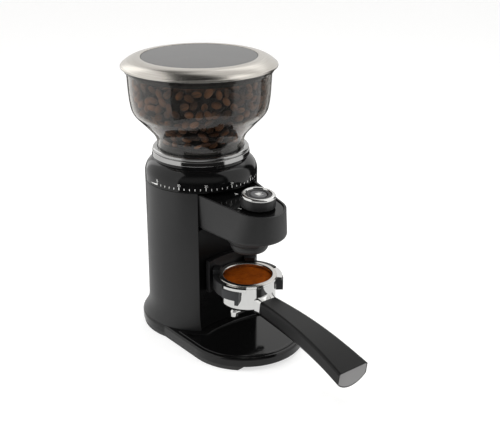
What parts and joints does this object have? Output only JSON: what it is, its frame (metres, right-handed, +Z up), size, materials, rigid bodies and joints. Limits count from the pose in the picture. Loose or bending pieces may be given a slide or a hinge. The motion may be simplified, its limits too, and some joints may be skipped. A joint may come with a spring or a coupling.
{
  "type": "burr coffee grinder",
  "caption": "Upright electric burr coffee grinder with a clear bean hopper, stepped setting ring, timer head, fork-held portafilter and lift-off tray.",
  "frame": {"origin": "middle of the whole object's box, on the surface that it stands on", "axes": "+Z up; -Y is the front, where the handle points; +X is to the right as seen from the front"},
  "size_m": [0.1634, 0.3199, 0.299],
  "materials": {
    "gloss_black": "high gloss",
    "satin_black": "satin",
    "panel_black": "semi-gloss",
    "satin_charcoal": "satin",
    "fork_grey": "matte",
    "rubber_black": "matte",
    "lid_steel": "warm brushed",
    "smoked_window": "smoked",
    "smoked_hopper": "smoky transparent",
    "chrome": "polished",
    "steel": "machined",
    "burr_steel": "hardened, ground",
    "nylon_white": "moulded",
    "board_green": "solder mask",
    "felt_grey": "felt",
    "copper_core": "laminated core and windings",
    "magnet_grey": "sintered",
    "bean_brown": "roasted, slightly oily",
    "ground_coffee": "fine powder",
    "basket_steel": "polished",
    "grip_black": "satin",
    "cap_grey": "fine satin",
    "button_grey": "satin"
  },
  "bodies": {
    "base": {"base_shell": "gloss_black", "bottom_plate": "satin_black", "rubber_feet": "rubber_black", "base_screws": "steel", "column_wrap": "satin_black", "recess_panel": "panel_black", "top_deck": "satin_black", "inner_frame": "satin_charcoal", "cable_gland": "rubber_black", "power_board": "board_green", "head_housing": "satin_charcoal", "head_top_panel": "gloss_black", "spout_skirt": "satin_charcoal", "grounds_chute": "satin_black", "timer_board": "board_green", "grinding_chamber": "satin_charcoal", "chamber_seal": "felt_grey", "idler_axle": "steel", "gearbox_case": "satin_charcoal", "gearbox_cover": "satin_charcoal", "pan_screws": "steel", "shaft_bearings": "steel", "motor_can": "steel", "motor_end_cap": "satin_black", "motor_magnets": "magnet_grey", "fork_bracket": "fork_grey", "fork_arms": "fork_grey", "microswitch": "satin_black", "plunger_spring": "steel"},
    "tray": {"catch_tray": "gloss_black"},
    "knob": {"timer_knob": "satin_black", "knob_bezel": "chrome", "button_spring": "steel"},
    "button": {"start_button": "button_grey"},
    "setting_ring": {"grind_ring": "gloss_black", "chrome_collar": "chrome", "upper_burr_carrier": "satin_charcoal", "ring_burr": "burr_steel"},
    "hopper": {"hopper": "smoked_hopper", "hopper_funnel": "satin_black", "coffee_beans": "bean_brown"},
    "lid": {"lid_rim": "lid_steel", "lid_window": "smoked_window", "lid_liner": "satin_black"},
    "burr_drive": {"cone_burr": "burr_steel", "burr_nut": "steel", "burr_shaft": "steel", "sweep_wheel": "nylon_white", "output_gear": "nylon_white"},
    "idler": {"idler_gear": "nylon_white"},
    "rotor": {"motor_rotor": "copper_core", "motor_pinion": "steel"},
    "plunger": {"switch_plunger": "satin_black"},
    "portafilter": {"portafilter_body": "chrome", "filter_basket": "basket_steel", "coffee_grounds": "ground_coffee", "portafilter_spout": "chrome", "handle_bolt": "steel", "handle_grip": "grip_black", "handle_end_cap": "cap_grey"}
  },
  "joints": [
    {"name": "tray_lift", "type": "slide", "parent": "base", "child": "tray", "axis": [0, 0, 1], "range_m": [0, 0.015]},
    {"name": "knob_turn", "type": "hinge", "parent": "base", "child": "knob", "pos_m": [0, -0.01776, 0.16179], "axis": [0, -0.0898, 0.996], "range_deg": [-135, 135]},
    {"name": "button_press", "type": "slide", "parent": "knob", "child": "button", "axis": [0, 0.0898, -0.996], "range_m": [0, 0.0012], "stiffness_N_per_m": 700, "springref_m": -0.001, "deforming": ["button_spring"]},
    {"name": "setting_turn", "type": "hinge", "parent": "base", "child": "setting_ring", "pos_m": [0, 0.07824, 0.18], "axis": [0, 0, 1], "range_deg": [-80, 80]},
    {"name": "hopper_lift", "type": "slide", "parent": "setting_ring", "child": "hopper", "axis": [0, 0, 1], "range_m": [0, 0.05]},
    {"name": "lid_lift", "type": "slide", "parent": "hopper", "child": "lid", "axis": [0, 0, 1], "range_m": [0, 0.04]},
    {"name": "motor_spin", "type": "hinge", "parent": "base", "child": "rotor", "pos_m": [0.01024, 0.10063, 0.07], "axis": [0, 0, 1], "continuous": true},
    {"name": "idler_spin", "type": "hinge", "parent": "base", "child": "idler", "pos_m": [0.03002, 0.0942, 0.116], "axis": [0, 0, 1], "continuous": true},
    {"name": "burr_spin", "type": "hinge", "parent": "base", "child": "burr_drive", "pos_m": [0, 0.07824, 0.14], "axis": [0, 0, 1], "continuous": true},
    {"name": "plunger_press", "type": "slide", "parent": "base", "child": "plunger", "axis": [0, 1, 0], "range_m": [0, 0.003], "stiffness_N_per_m": 150, "springref_m": -0.002, "deforming": ["plunger_spring"]},
    {"name": "portafilter_pull", "type": "slide", "parent": "base", "child": "portafilter", "axis": [0, -1, 0], "range_m": [0, 0.16], "deforming": ["fork_arms"]}
  ],
  "couplings": [
    {"joint": "idler_spin", "follows": "motor_spin", "ratio": -0.3},
    {"joint": "burr_spin", "follows": "motor_spin", "ratio": 0.077778}
  ]
}
